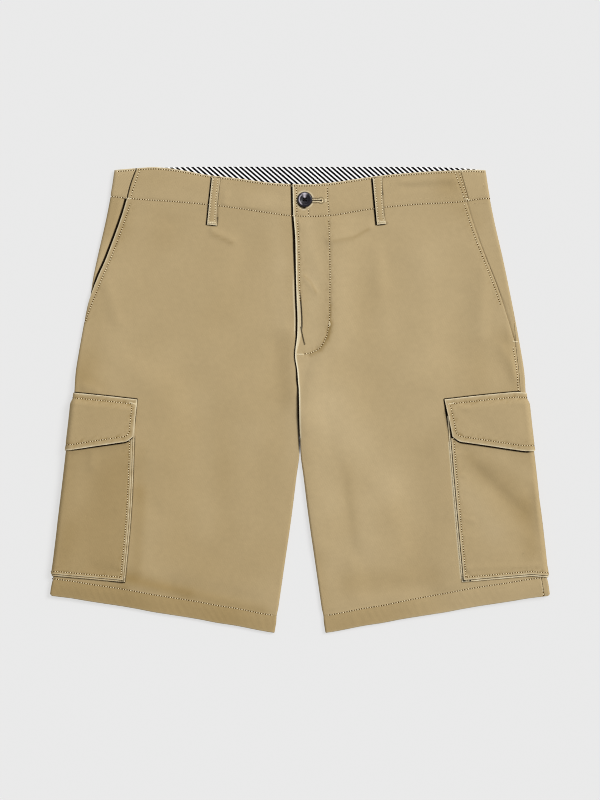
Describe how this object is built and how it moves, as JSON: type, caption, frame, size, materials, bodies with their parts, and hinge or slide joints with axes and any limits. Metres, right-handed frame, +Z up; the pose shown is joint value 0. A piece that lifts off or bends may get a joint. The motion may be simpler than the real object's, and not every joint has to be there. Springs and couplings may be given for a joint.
{
  "type": "cargo shorts",
  "caption": "Men's cotton twill cargo shorts laid flat on their back, with slant hip pockets, wrapped cargo pockets with flaps, belt loops and a buttoned waistband.",
  "frame": {"origin": "on the surface that the shorts lie on, below the middle of their outline seen from above", "axes": "+X towards the wearer's left side, +Y towards the waist, +Z up out of the front of the shorts"},
  "size_m": [0.5812, 0.5408, 0.0132],
  "materials": {
    "cotton_twill": "matt khaki cotton twill with a soft brushed face",
    "striped_cotton": "matt cotton with fine diagonal stripes, black and white",
    "zip_cotton": "matt woven tape",
    "navy_horn": "glossy dark navy imitation horn",
    "brass": "dull antique brass"
  },
  "bodies": {
    "root": {"front_left": "cotton_twill", "front_right": "cotton_twill", "back_left": "cotton_twill", "back_right": "cotton_twill", "waistband_front_left": "cotton_twill", "waistband_front_right": "cotton_twill", "waistband_back": "cotton_twill", "waistband_facing_back": "striped_cotton", "hip_facing_left": "cotton_twill", "hip_facing_right": "cotton_twill", "cargo_gusset_left": "cotton_twill", "cargo_gusset_right": "cotton_twill", "cargo_pocket_left": "cotton_twill", "cargo_pocket_right": "cotton_twill", "cargo_flap_left": "cotton_twill", "cargo_flap_right": "cotton_twill", "belt_loop_front_left": "cotton_twill", "belt_loop_front_right": "cotton_twill", "belt_loop_back_left": "cotton_twill", "belt_loop_back_centre": "cotton_twill", "belt_loop_back_right": "cotton_twill", "waist_button": "navy_horn", "fly_zip_tape": "zip_cotton", "fly_zip_slider": "brass"}
  },
  "joints": []
}
